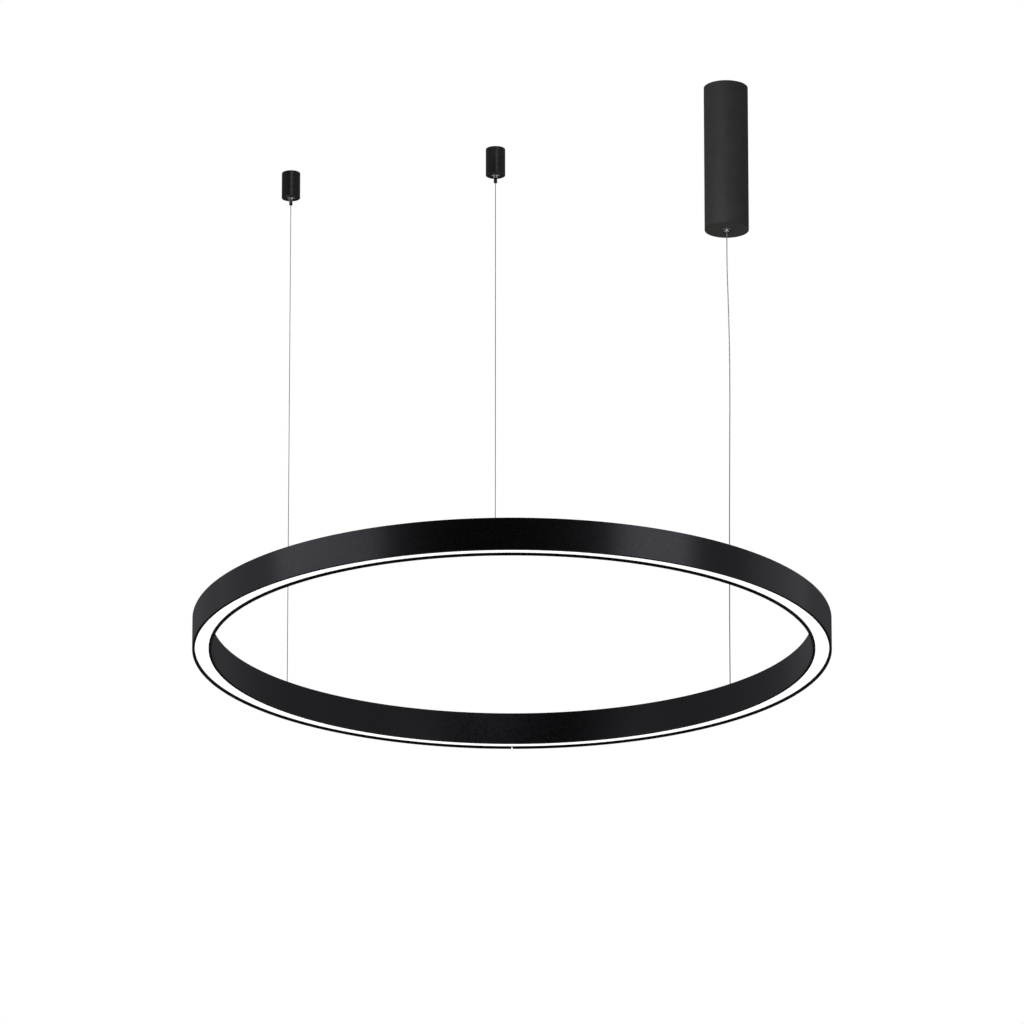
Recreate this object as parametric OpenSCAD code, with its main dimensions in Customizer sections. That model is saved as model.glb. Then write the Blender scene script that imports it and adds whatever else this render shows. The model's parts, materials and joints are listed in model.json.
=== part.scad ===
// Ring pendant ceiling light, lit downwards. Its power cable hangs from a tall driver canopy, and two
// steel wires hang from small ceiling cups. Each feeds through a ball gripper, which sets the drop.
// Millimetres. The origin is the centre of the canopy's ceiling face. +X is to the right, +Z is up.

/* [Ring] */
// Outer diameter of the ring
ring_d = 1000; // [700:10:1400]
// Width of the ring's profile
profile_w = 30; // [29:0.5:40]
// Height of the ring's profile
profile_h = 51; // [48:0.5:70]
// Thickness of the profile's side walls
wall = 1.8; // [1.4:0.1:2.2]
// Thickness of the web that carries the light boards
web_t = 1.6; // [1.2:0.1:2.4]
// Chamfer on the profile's four long edges
edge = 0.5; // [0.2:0.1:0.8]
// Width of the black lip seen beside the diffuser
lip_w = 4.2; // [3:0.1:5]
// Thickness of that lip, which sets the diffuser back
lip_t = 3.6; // [1.5:0.1:4]
// Thickness of the ledge above the diffuser
ledge_t = 1.2; // [0.8:0.1:2]
// Reach of the rib that the top cover lies on
rib_w = 3.2; // [2.4:0.1:4]
// Thickness of that rib
rib_t = 1.8; // [1.2:0.1:2.5]
// Height of the wiring channel between the web and the ribs
channel_h = 14; // [13:0.5:18]
// Thickness of the top cover strips
cover_t = 2.5; // [2:0.1:4]
// Thickness of the opal diffuser
diffuser_t = 2; // [1.5:0.1:3]
// Width of the small drain notch in the outer lip at the far seam
notch_w = 3; // [1:0.1:5]

/* [Light boards] */
// Width of a light board
board_w = 12; // [8:0.5:13]
// Thickness of a light board
board_t = 1; // [0.8:0.1:2]
// Side of one square light emitter
chip_w = 5; // [3:0.1:6]
// Thickness of one emitter
chip_t = 0.9; // [0.5:0.1:1.4]
// Distance between emitters along the ring
chip_pitch = 31; // [20:0.5:60]

/* [Suspension] */
// Height of the canopy's ceiling face above the ring
canopy_drop = 1028; // [600:1:1500]
// Height of the front cup's ceiling face above the ring
front_drop = 605; // [300:1:1500]
// Height of the left cup's ceiling face above the ring
left_drop = 875; // [300:1:1500]
// Direction of the front wire from the ring's centre, in degrees from +X
front_angle = -93; // [-94:0.5:-91.5]
// Direction of the left wire
left_angle = 137.7; // [125:0.1:150]
// Direction of the power cable
cable_angle = 44.1; // [30:0.1:60]
// Diameter of the two suspension wires
wire_d = 1.2; // [0.8:0.1:1.5]
// Diameter of the power cable that also carries the ring
cable_d = 1.6; // [1.2:0.1:2]

/* [Ring fixings] */
// Diameter of a hanging stud
stud_d = 8; // [7:0.1:9]
// Diameter of the stud's head
stud_head_d = 14; // [12:0.5:16]
// Height of the stud's head above the ring
stud_head_h = 2.6; // [1.5:0.1:4]
// Length of a stud below its nut
stud_end = 2.5; // [1:0.1:3.5]
// Length of the nut block in the channel
nut_l = 24; // [18:0.5:30]
// Thickness of the nut block
nut_t = 6; // [4:0.5:7]
// Length of a splice plate along the ring
splice_l = 68; // [60:1:90]
// Thickness of a splice plate
splice_t = 3; // [2:0.1:4]
// Diameter of the small machine screws
screw_d = 3; // [2.5:0.1:3.5]

/* [Cups] */
// Diameter of a ceiling cup
cup_d = 30; // [28:0.5:40]
// Height of a ceiling cup
cup_h = 44; // [44:0.5:70]
// Wall of a cup
cup_wall = 2.5; // [1.5:0.1:2.8]
// Thickness of a cup's floor
cup_floor = 4; // [3:0.1:5]
// Chamfer on a cup's edges
cup_edge = 0.8; // [0.3:0.1:1.2]
// Height of the base that screws to the ceiling inside a cup
base_h = 7; // [5:0.5:8]
// Diameter of the hole for the ceiling screw in a base
base_hole_d = 4.5; // [3.5:0.1:5]

/* [Canopy] */
// Diameter of the canopy
canopy_d = 72; // [71:0.5:90]
// Height of the canopy
canopy_h = 248; // [240:1:320]
// Wall of the canopy's tube
tube_wall = 2; // [1.5:0.1:2.5]
// Thickness of the canopy's end cap
cap_t = 4; // [3:0.1:6]
// Thickness of the steel plate on the ceiling
plate_t = 2; // [1.5:0.1:3]
// Depth of the plate's skirt
skirt_h = 14; // [12:0.5:20]
// Space between the tube and the skirt, which holds the set screws' threads
skirt_gap = 3; // [2.5:0.1:3.5]
// Distance between the two ceiling screws
fixing_span = 46; // [42:0.5:48]
// Diameter of the holes for the ceiling screws
fixing_d = 5.2; // [4:0.1:6]
// Diameter of the hole for the mains cable
entry_d = 12; // [8:0.5:13]

/* [Driver] */
// Thickness of the bracket that carries the driver
strap_t = 2; // [1.5:0.1:2.5]
// Width of that bracket
strap_w = 26; // [24:0.5:30]
// Width of the driver's case
driver_w = 34; // [30:0.5:38]
// Depth of the driver's case
driver_depth = 24; // [20:0.5:26]
// Length of the driver's case
driver_l = 150; // [120:1:155]

/* [Grippers] */
// Diameter of a gripper's barrel
barrel_d = 10; // [9.5:0.1:11]
// Length of a cup's gripper barrel
barrel_l = 24; // [23:0.5:26]
// Length of the barrel that shows below a cup
neck_l = 4.2; // [3:0.1:6]
// Diameter of a gripper's flange
flange_d = 14; // [12:0.5:16]
// Thickness of that flange
flange_t = 1.5; // [1:0.1:2.5]
// Diameter of the release plunger's stem
stem_d = 4.8; // [4.6:0.1:5]
// Diameter of a clamping ball
ball_d = 2.2; // [2:0.05:2.3]
// Diameter of the black release button under a cup
button_d = 5.4; // [5:0.1:7]
// Length of that button
button_l = 5.5; // [4:0.1:8]
// Travel of a release plunger
release_travel = 2; // [1:0.1:2.5]

/* [Clearances] */
// Play round a piece that slides or is loose
slide_gap = 0.3; // [0.2:0.05:0.5]
// Play of a running fit or a thread, on the radius
run_gap = 0.08; // [0.04:0.01:0.1]
// Gap at each seam of the ring
seam_gap = 0.1; // [0.05:0.05:0.5]

/* [Hidden] */
$fn = 64;
ring_fn = 180;
// How far a cutter runs past the face that it opens
past = 1;

// Ring, measured from its bottom plane
half_w = profile_w / 2;
hang_r = ring_d / 2 - half_w;
rib_top = profile_h - cover_t;
rib_bottom = rib_top - rib_t;
web_top = rib_bottom - channel_h;
web_bottom = web_top - web_t;
groove_top = lip_t + diffuser_t + slide_gap / 2;
inside_w = profile_w - 2 * wall;
seam_a = asin(seam_gap / 2 / hang_r);
board_end_gap = 1;
notch_h = lip_t * 1.2;

// The ring's centre, which sets the power cable's hanger under the canopy's centre
ring_x = -hang_r * cos(cable_angle);
ring_y = -hang_r * sin(cable_angle);
ring_z = -canopy_drop - profile_h;

// Hanging studs, from the ring's bottom plane
stud_top = profile_h + stud_head_h;
stud_bottom = rib_bottom - nut_t - stud_end;
stud_wall = 1.8;
nut_side = 0.5;
ferrule_l = nut_t;
ferrule_d = stud_d - 2 * stud_wall;

// Splice plates and their screws, which pass beside the light boards
splice_side = 1;
splice_w = inside_w - 2 * splice_side;
screw_head_d = screw_d * 1.8;
screw_head_h = screw_d * 0.6;
splice_screw_r = (board_w + inside_w) / 4;
splice_screw_y = splice_l / 2 - 2 * screw_d;

// Leads in the channel, the grommets in the web and the connector, which lies beside the cable's stud
lead_d = 1.2;
grommet_d = 3 * lead_d;
grommet_head_d = 5 * lead_d;
grommet_head_t = 1;
grommet_a = 6;
connector_l = 16;
connector_w = 9;
connector_h = 7;
connector_a = 3;
core_hole_d = 2;
board_drop = 1.6;

// Grippers, from the barrel's bottom end
barrel_wall = 1.6;
bore_d = barrel_d - 2 * barrel_wall;
neck_d = barrel_d * 0.72;
stem_bore_d = stem_d + 2 * run_gap;
guide_l = 7;
cone_l = 9;
stem_above_balls = 2.5;
gripper_cap_t = 3;
wire_end_above = 4;
spring_wire = 0.7;
spring_turns = 6;
spring_end_gap = 0.1;
button_gap = release_travel + slide_gap;
cable_stem_end = 3.5;
stem_tip = 0.6;
hex_d = barrel_d * 1.55;
hex_h = barrel_d * 0.35;

// Canopy, from the ceiling face down
tube_r = canopy_d / 2 - tube_wall;
skirt_r = tube_r - skirt_gap;
ceiling_gap = 0.5;
entry_y = -skirt_r * 0.6;
driver_shift = 1;
strap_y = driver_depth / 2 + driver_shift;
foot_front = -barrel_d * 0.9;
foot_screw_y = 2;
cable_flange_t = 3;
seat_up = 19;
barrel_over_nut = 2;
canopy_seat = -canopy_h + seat_up;
canopy_barrel_l = seat_up + strap_t + hex_h + barrel_over_nut;
canopy_barrel_top = -canopy_h + canopy_barrel_l;
set_screw_d = 4;
set_screw_z = -skirt_h / 2;
set_hex_d = 2.2;
set_hex_t = 1.6;
bush_bore = barrel_d + 2 * slide_gap;
bush_d = bush_bore + 3;
bush_rim = 1;
bush_lip_t = 0.6;

// Terminal block, three poles in a row, and the driver below it
block_w = 28;
block_d = 15;
block_h = 18;
block_space = 14;
block_y = strap_y - block_d;
block_z = -plate_t - strap_t - block_space;
pole_pitch = block_w / 3;
pole_rows = [block_z - block_h * 0.28, block_z - block_h * 0.72];
pole_hole_d = 3.4;
pole_screw_d = 4;
pole_screw_l = 3.5;
pole_screw_in = 1.5;
groove_w = 1.2;
groove_t = 2;
lead_space = 16;
driver_z = block_z - block_h - lead_space;
driver_bottom = driver_z - driver_l;
driver_corner = 3;
driver_cap_l = 18;
driver_cap_step = 0.5;
tab_l = 8;
tab_t = 3;
lead_x = 5;
lead_in = 2;
lead_hole_t = 3;

// Cups, from their own ceiling face down
base_r = cup_d / 2 - cup_wall - run_gap;
cup_barrel_z = -cup_h - neck_l;
cup_barrel_top = cup_barrel_z + barrel_l;

// Route of the power cable, as [x, z]: plumb below the canopy, then eased a little sideways
cable_route = [
    [0, -248], [0, -270], [0, -295], [0.2, -320], [0.8, -345], [1.5, -372], [2.2, -405],
    [2.8, -440], [3.1, -475], [3.1, -510], [2.9, -550], [2.5, -590], [2.1, -630], [1.6, -680],
    [1.1, -730], [0.7, -780], [0.4, -830], [0.2, -880], [0, -930], [0, -980]
];
// Routes of the short leads in the canopy
mains_route = [[0, 0, 4], [0, 0, 1], [0, -1.5, -4], [0, -2, -8], [0, -1.5, -12], [0, 0, -17]];
output_route = [
    [0, 0, 0], [0, 0, 2], [0.5, -0.4, 4.5], [2.6, -1.8, 7.5], [4.8, -3, 10.5], [5.5, -3.4, 13],
    [5.5, -3.4, 15]
];

// Colours
black_coat = [0.06, 0.06, 0.065];
charcoal = [0.16, 0.16, 0.17];
steel = [0.72, 0.73, 0.75];
nickel = [0.82, 0.82, 0.84];
zinc = [0.6, 0.62, 0.65];
opal = [0.97, 0.97, 0.96];
board_white = [0.93, 0.94, 0.92];
emitter = [0.98, 0.86, 0.45];
case_white = [0.88, 0.88, 0.86];
lead_grey = [0.66, 0.66, 0.68];
live_brown = [0.42, 0.24, 0.14];
neutral_blue = [0.2, 0.35, 0.7];
brass = [0.75, 0.62, 0.3];
rubber = [0.1, 0.1, 0.1];

function unit(v) = v / norm(v);

// Height at which the balls, lying on the wire, meet the widening bore
function ball_z(wire) =
    guide_l + cone_l * (wire + 2 * ball_d + 4 * run_gap - stem_bore_d) / (bore_d - stem_bore_d);

function stem_top(wire) = ball_z(wire) + stem_above_balls;

// A round hole along Z that opens both faces of a wall between two heights
module hole(d, low, high) {
    translate([0, 0, low - past]) cylinder(d = d, h = high - low + 2 * past);
}

// A tube swept along a path, with its rings square to it. ref is never along the path.
module swept_tube(path, d, sides, ref) {
    last = len(path) - 1;
    rings = [
        for (i = [0:last])
            let (
                along = unit(path[min(i + 1, last)] - path[max(i - 1, 0)]),
                u = unit(cross(along, ref)),
                v = cross(u, along)
            )
            for (k = [0:sides - 1])
                path[i] + d / 2 * (cos(360 * k / sides) * u + sin(360 * k / sides) * v)
    ];
    skin = [
        for (i = [0:last - 1], k = [0:sides - 1])
            let (a = i * sides + k, b = i * sides + (k + 1) % sides)
            each [[a, b, b + sides], [a, b + sides, a + sides]]
    ];
    first_cap = [for (k = [1:sides - 2]) [0, k + 1, k]];
    end_cap = [for (k = [1:sides - 2]) [last * sides, last * sides + k, last * sides + k + 1]];
    polyhedron(points = rings, faces = concat(skin, first_cap, end_cap));
}

// Places children at a hanger, on the ring's bottom plane, with +X pointing out of the ring
module at_hanger(angle) {
    translate([ring_x + hang_r * cos(angle), ring_y + hang_r * sin(angle), ring_z])
        rotate(angle) children();
}

// Places children with +Z as the barrel's axis and z = 0 at the barrel's bottom end
module at_canopy_gripper() {
    translate([0, 0, -canopy_h]) children();
}

module at_cup(angle, drop) {
    at_hanger(angle) translate([0, 0, profile_h + drop]) children();
}

module at_cup_gripper(angle, drop) {
    at_cup(angle, drop) translate([0, 0, cup_barrel_z]) children();
}

// An arc of the ring from one angle to another, with a section drawn about the profile's centre line
module ring_arc(from, to) {
    translate([ring_x, ring_y, ring_z])
        rotate(from)
            rotate_extrude(angle = to - from, $fn = ring_fn)
                translate([hang_r, 0]) children();
}

// Half of the ring, side 0 on the right and side 1 on the left
module half_ring(side, short = 0) {
    a = seam_a + asin(short / hang_r);
    ring_arc(side * 180 - 90 + a, side * 180 + 90 - a) children();
}

module profile_section() {
    for (m = [0, 1])
        mirror([m, 0]) {
            polygon([
                [half_w - wall, 0], [half_w - edge, 0], [half_w, edge], [half_w, profile_h - edge],
                [half_w - edge, profile_h], [half_w - wall, profile_h]
            ]);
            translate([half_w - lip_w, 0]) square([lip_w - edge, lip_t]);
            translate([half_w - lip_w, groove_top]) square([lip_w - edge, ledge_t]);
            translate([half_w - wall - rib_w, rib_bottom]) square([rib_w + wall / 2, rib_t]);
            translate([-past, web_bottom]) square([half_w - wall / 2 + past, web_t]);
        }
}

// Places children at each splice screw, on the web
module at_splice_screws() {
    for (seam = [-90, 90], s = [-1, 1], out = [-1, 1])
        translate([ring_x, ring_y, ring_z])
            rotate(seam + s * asin(splice_screw_y / hang_r))
                translate([hang_r + out * splice_screw_r, 0, web_top]) children();
}

// Places children at the hole where the leads pass down to the light boards
module at_grommet(side) {
    translate([ring_x, ring_y, ring_z])
        rotate(side == 0 ? cable_angle - grommet_a : 90 + 2 * grommet_a)
            translate([hang_r - splice_screw_r, 0, web_top]) children();
}

// The drain notch in the outer lip at the far seam, as a cutter
module drain_notch() {
    side = notch_w / 2;
    translate([ring_x, ring_y + hang_r + half_w - lip_w - past, ring_z])
        rotate([-90, 0, 0])
            linear_extrude(lip_w + 2 * past)
                polygon([[-side, past], [-side, 0], [0, -notch_h], [side, 0], [side, past]]);
}

module ring_housing(side) {
    color(black_coat)
        difference() {
            half_ring(side) profile_section();
            at_splice_screws() hole(screw_d, -web_t, 0);
            for (s = [0, 1])
                at_grommet(s) hole(grommet_d, -web_t, 0);
            drain_notch();
        }
}

module top_cover(side) {
    color(black_coat)
        difference() {
            half_ring(side)
                translate([-inside_w / 2 + slide_gap / 2, rib_top]) square([inside_w - slide_gap, cover_t]);
            for (a = [front_angle, left_angle, cable_angle])
                at_hanger(a) hole(stud_d + slide_gap, rib_top, profile_h);
        }
}

module diffuser(side) {
    color(opal)
        half_ring(side)
            translate([-inside_w / 2 + slide_gap / 2, lip_t]) square([inside_w - slide_gap, diffuser_t]);
}

module led_board(side) {
    color(board_white)
        half_ring(side, board_end_gap)
            translate([-board_w / 2, web_bottom - board_t]) square([board_w, board_t]);
}

module led_chips(side) {
    count = floor(180 * PI / 180 * hang_r / chip_pitch);
    step = 180 / count;
    color(emitter)
        translate([ring_x, ring_y, ring_z])
            for (i = [0:count - 1])
                rotate(side * 180 - 90 + (i + 0.5) * step)
                    translate([hang_r - chip_w / 2, -chip_w / 2, web_bottom - board_t - chip_t])
                        cube([chip_w, chip_w, chip_t]);
}

module splice_plates() {
    half_a = asin(splice_l / 2 / hang_r);
    color(steel)
        difference() {
            for (seam = [-90, 90])
                ring_arc(seam - half_a, seam + half_a)
                    translate([-splice_w / 2, web_top]) square([splice_w, splice_t]);
            at_splice_screws() hole(screw_d + slide_gap, 0, splice_t);
        }
}

module splice_screws() {
    color(zinc)
        at_splice_screws() {
            translate([0, 0, -web_t]) cylinder(d = screw_d - run_gap, h = web_t + splice_t, $fn = 24);
            translate([0, 0, splice_t]) pan_head(screw_head_d, screw_head_h);
        }
}

// A screw head with a cross recess, standing on z = 0
module pan_head(d, h) {
    slot = d * 0.12;
    difference() {
        union() {
            cylinder(d = d, h = h * 0.6, $fn = 32);
            translate([0, 0, h * 0.6]) cylinder(d1 = d, d2 = d * 0.7, h = h * 0.4, $fn = 32);
        }
        for (a = [0, 90])
            rotate(a) translate([-d * 0.28, -slot / 2, h * 0.5]) cube([d * 0.56, slot, h]);
    }
}

module hanger_studs() {
    color(black_coat)
        for (hang = [[front_angle, wire_d], [left_angle, wire_d], [cable_angle, cable_d]])
            at_hanger(hang[0])
                difference() {
                    union() {
                        translate([0, 0, stud_bottom])
                            cylinder(d = stud_d, h = profile_h - stud_bottom + stud_head_h / 4);
                        translate([0, 0, profile_h]) cylinder(d = stud_head_d, h = stud_head_h * 0.6);
                        translate([0, 0, profile_h + stud_head_h * 0.6])
                            cylinder(d1 = stud_head_d, d2 = stud_head_d * 0.6, h = stud_head_h * 0.4);
                    }
                    hole(hang[1] + 2 * slide_gap, stud_bottom, stud_top);
                    translate([0, 0, stud_bottom - past])
                        cylinder(d = ferrule_d + 2 * run_gap, h = ferrule_l + past);
                }
}

module hanger_nuts() {
    nut_w = inside_w - 2 * nut_side;
    color(zinc)
        for (a = [front_angle, left_angle, cable_angle])
            at_hanger(a)
                translate([0, 0, rib_bottom - nut_t])
                    difference() {
                        translate([-nut_w / 2, -nut_l / 2, 0]) cube([nut_w, nut_l, nut_t]);
                        hole(stud_d + 2 * run_gap, 0, nut_t);
                    }
}

module wire_ferrules() {
    color(nickel)
        for (hang = [[front_angle, wire_d], [left_angle, wire_d], [cable_angle, cable_d]])
            at_hanger(hang[0])
                translate([0, 0, stud_bottom])
                    difference() {
                        cylinder(d = ferrule_d, h = ferrule_l);
                        hole(hang[1] + 2 * run_gap, 0, ferrule_l);
                    }
}

// A push-in connector on the web, where the cable's cores meet the leads to both boards
module ring_connector() {
    color(case_white)
        translate([ring_x, ring_y, ring_z])
            rotate(cable_angle - connector_a)
                translate([hang_r - connector_w / 2, -connector_l / 2, web_top])
                    difference() {
                        cube([connector_w, connector_l, connector_h]);
                        for (x = [connector_w * 0.28, connector_w * 0.72])
                            translate([x, 0, connector_h / 2])
                                rotate([-90, 0, 0]) hole(core_hole_d, 0, connector_l);
                    }
}

module web_grommet() {
    color(rubber)
        for (s = [0, 1])
            at_grommet(s)
                difference() {
                    union() {
                        translate([0, 0, -web_t]) cylinder(d = grommet_d, h = web_t);
                        cylinder(d = grommet_head_d, h = grommet_head_t);
                    }
                    hole(lead_d * 1.5, -web_t, grommet_head_t);
                }
}

// A point in the channel at an angle, out from the profile's centre line, above the web
function channel_point(a, out, up) = [
    ring_x + (hang_r + out) * cos(a), ring_y + (hang_r + out) * sin(a), ring_z + web_top + up
];

// The end of a lead that passes down a grommet and turns onto the light board below
function board_end(a) = [
    channel_point(a, -splice_screw_r, 0), channel_point(a, -splice_screw_r, -web_t),
    channel_point(a, -splice_screw_r, -web_t - board_drop),
    channel_point(a, -splice_screw_r + 0.5, -web_t - board_drop - 0.7),
    channel_point(a, -board_w / 2 + 1.5, -web_t - board_t - lead_d / 2)
];

// Leads from the cable's end to the connector, and from there to each board
module ring_leads() {
    stub = stud_bottom - web_top;
    half_a = asin(connector_l / 2 / hang_r);
    near_a = cable_angle - connector_a + half_a;
    far_a = cable_angle - connector_a - half_a;
    down_a = cable_angle - grommet_a;
    other_a = 90 + 2 * grommet_a;
    in_x = connector_w * 0.22;
    mid = connector_h / 2;
    color(lead_grey) {
        swept_tube([
            channel_point(cable_angle, 0, stub), channel_point(cable_angle, 0, stub - 0.8),
            channel_point(cable_angle - 0.2, 0.6, stub - 1.6),
            channel_point((cable_angle + near_a) / 2, in_x * 0.7, mid + 0.3),
            channel_point(near_a + 0.15, in_x, mid), channel_point(near_a - 0.2, in_x, mid)
        ], lead_d, 8, [0.9, 0.4, 0.1]);
        swept_tube(concat([
            channel_point(far_a + 0.2, -in_x, mid), channel_point(far_a - 0.2, -in_x, mid),
            channel_point((far_a + down_a) / 2, -splice_screw_r * 0.6, mid + 0.4),
            channel_point(down_a + 0.12, -splice_screw_r, mid - 0.2),
            channel_point(down_a, -splice_screw_r, mid - 1.4)
        ], board_end(down_a)), lead_d, 8, [0.4, 0.9, 0.15]);
        swept_tube(concat(
            [channel_point(near_a - 0.2, -in_x, mid), channel_point(near_a + 0.2, -in_x, mid)],
            [for (i = [1:11])
                channel_point(near_a + (other_a - near_a) * i / 12, -splice_screw_r + 0.6, splice_t + 3)],
            [
                channel_point(other_a - 0.12, -splice_screw_r, splice_t + 1.4),
                channel_point(other_a, -splice_screw_r, splice_t)
            ],
            board_end(other_a)
        ), lead_d, 8, [0.8, 0.5, 0.2]);
    }
}

// A wire from its ferrule in the ring up through a cup's gripper
module wire(angle, drop) {
    top = profile_h + drop + cup_barrel_top + wire_end_above;
    color(steel)
        at_hanger(angle) translate([0, 0, stud_bottom]) cylinder(d = wire_d, h = top - stud_bottom, $fn = 24);
}

module power_cable() {
    color(steel)
        swept_tube(concat(
            [[0, 0, canopy_barrel_top + wire_end_above]],
            [for (p = cable_route) [p[0], 0, p[1]]],
            [[0, 0, ring_z + stud_bottom]]
        ), cable_d, 8, [0, 1, 0]);
}

// A gripper's threaded barrel. Its bore widens upwards, so that the load wedges the balls on the wire.
module gripper_body(len, seat, low_d, head_t) {
    color(nickel)
        difference() {
            union() {
                cylinder(d = low_d, h = seat);
                translate([0, 0, seat]) cylinder(d = barrel_d, h = len - seat);
                translate([0, 0, seat - head_t]) cylinder(d = flange_d, h = head_t);
            }
            hole(stem_bore_d, 0, guide_l);
            translate([0, 0, guide_l]) cylinder(d1 = stem_bore_d, d2 = bore_d, h = cone_l);
            translate([0, 0, guide_l + cone_l]) cylinder(d = bore_d, h = len - guide_l - cone_l + past);
        }
}

module gripper_nut(seat) {
    color(zinc)
        translate([0, 0, seat])
            difference() {
                cylinder(d = hex_d, h = hex_h, $fn = 6);
                hole(barrel_d + run_gap, 0, hex_h);
            }
}

module gripper_cap(len, wire) {
    color(nickel)
        translate([0, 0, len - gripper_cap_t])
            difference() {
                cylinder(d = bore_d - run_gap, h = gripper_cap_t);
                hole(wire + 2 * slide_gap, 0, gripper_cap_t);
            }
}

// The spring that keeps the plunger down, with its ends near the plunger's head and the cap
module gripper_spring(len, wire) {
    low = stem_top(wire) + spring_wire / 2 + spring_end_gap;
    high = len - gripper_cap_t - spring_wire / 2 - spring_end_gap;
    r = stem_d / 2 - spring_wire / 2;
    rings = spring_turns * 10;
    color(steel)
        swept_tube([
            for (i = [0:rings])
                [r * cos(i * 36), r * sin(i * 36), low + (high - low) * i / rings]
        ], spring_wire, 6, [0, 0, 1]);
}

// The release plunger, whose head carries the balls. It ends in a button, or in a plain stem.
module plunger(wire, with_button) {
    stem_low = with_button ? -button_gap - past : stem_tip - cable_stem_end;
    low = with_button ? -button_gap - button_l : -cable_stem_end;
    color(with_button ? black_coat : nickel)
        difference() {
            union() {
                translate([0, 0, stem_low]) cylinder(d = stem_d, h = stem_top(wire) - stem_low);
                if (with_button)
                    translate([0, 0, -button_gap - button_l / 2])
                        intersection() {
                            cylinder(d = button_d, h = button_l, center = true);
                            sphere(r = button_l * 0.64);
                        }
                else
                    translate([0, 0, low]) cylinder(d1 = stem_d - 2 * stem_tip, d2 = stem_d, h = stem_tip);
            }
            hole(wire + 2 * slide_gap, low, stem_top(wire));
            for (a = [0, 120, 240])
                rotate(a) translate([0, 0, ball_z(wire)]) rotate([0, 90, 0])
                    cylinder(d = ball_d + 2 * run_gap, h = stem_d);
        }
}

module gripper_balls(wire) {
    ball_x = (wire + run_gap + ball_d) / 2;
    color(steel)
        for (a = [0, 120, 240])
            rotate(a) translate([ball_x, 0, ball_z(wire)]) sphere(d = ball_d);
}

module cup() {
    inner_r = cup_d / 2 - cup_wall;
    color(black_coat)
        translate([0, 0, -cup_h])
            rotate_extrude()
                polygon([
                    [barrel_d / 2 + run_gap, 0], [cup_d / 2 - cup_edge, 0], [cup_d / 2, cup_edge],
                    [cup_d / 2, cup_h - ceiling_gap - cup_edge], [cup_d / 2 - cup_edge, cup_h - ceiling_gap],
                    [inner_r, cup_h - ceiling_gap], [inner_r, cup_floor], [barrel_d / 2 + run_gap, cup_floor]
                ]);
}

// The threaded base that one screw holds to the ceiling, and that the cup screws onto
module base() {
    color(zinc)
        translate([0, 0, -base_h])
            difference() {
                cylinder(r = base_r, h = base_h);
                hole(base_hole_d, 0, base_h);
                cylinder(d1 = base_hole_d * 2, d2 = base_hole_d, h = base_hole_d / 2);
            }
}

module canopy_ceiling_plate() {
    color(zinc)
        difference() {
            union() {
                translate([0, 0, -plate_t]) cylinder(r = skirt_r, h = plate_t);
                difference() {
                    translate([0, 0, -skirt_h]) cylinder(r = skirt_r, h = skirt_h);
                    hole(2 * (skirt_r - tube_wall), -skirt_h, 0);
                }
            }
            for (s = [-1, 1])
                translate([s * fixing_span / 2, 0, 0]) hole(fixing_d, -plate_t, 0);
            translate([0, entry_y, 0]) hole(entry_d, -plate_t, 0);
            at_bracket_screws() hole(screw_d, 0, plate_t);
            at_earth_screw() hole(screw_d, 0, plate_t);
        }
}

// Screw places on the underside of the ceiling plate
module at_bracket_screws() {
    for (s = [-1, 1])
        translate([s * strap_w * 0.3, foot_screw_y, -plate_t]) children();
}

module at_earth_screw() {
    rotate(-45) translate([skirt_r * 0.68, 0, -plate_t]) children();
}

module canopy_bracket_screws() {
    color(zinc)
        at_bracket_screws() {
            translate([0, 0, -strap_t]) cylinder(d = screw_d - run_gap, h = plate_t + strap_t, $fn = 24);
            translate([0, 0, -strap_t]) mirror([0, 0, 1]) pan_head(screw_head_d, screw_head_h);
        }
}

module earth_screw() {
    color(brass)
        at_earth_screw() {
            cylinder(d = screw_d - run_gap, h = plate_t, $fn = 24);
            mirror([0, 0, 1]) pan_head(screw_head_d * 1.3, screw_head_h);
        }
}

// The strap from the ceiling plate down to the gripper, seen from the side, as [y, z]
module strap_side() {
    top = -plate_t;
    bottom = canopy_seat;
    difference() {
        translate([foot_front, bottom]) square([strap_y + strap_t - foot_front, top - bottom]);
        translate([foot_front - past, bottom + strap_t])
            square([strap_y - foot_front + past, top - bottom - 2 * strap_t]);
    }
}

module canopy_bracket() {
    color(zinc)
        difference() {
            translate([-strap_w / 2, 0, 0]) rotate([90, 0, 90]) linear_extrude(strap_w) strap_side();
            at_bracket_screws() hole(screw_d + slide_gap, -strap_t, 0);
            hole(barrel_d + 2 * run_gap, canopy_seat, canopy_seat + strap_t);
            at_driver_screws() hole(screw_d, -strap_t, 0);
        }
}

// Screw places on the strap's front, with +Z pointing away from the strap
module at_driver_screws() {
    for (z = [driver_z + tab_l / 2, driver_bottom - tab_l / 2])
        translate([0, strap_y, z]) rotate([90, 0, 0]) children();
}

module driver_outline(w, d) {
    r = driver_corner;
    translate([-w / 2 + r, -d / 2]) square([w - 2 * r, d]);
    translate([-w / 2, -d / 2 + r]) square([w, d - 2 * r]);
    for (x = [-1, 1], y = [-1, 1])
        translate([x * (w / 2 - r), y * (d / 2 - r)]) circle(r = r);
}

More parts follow.
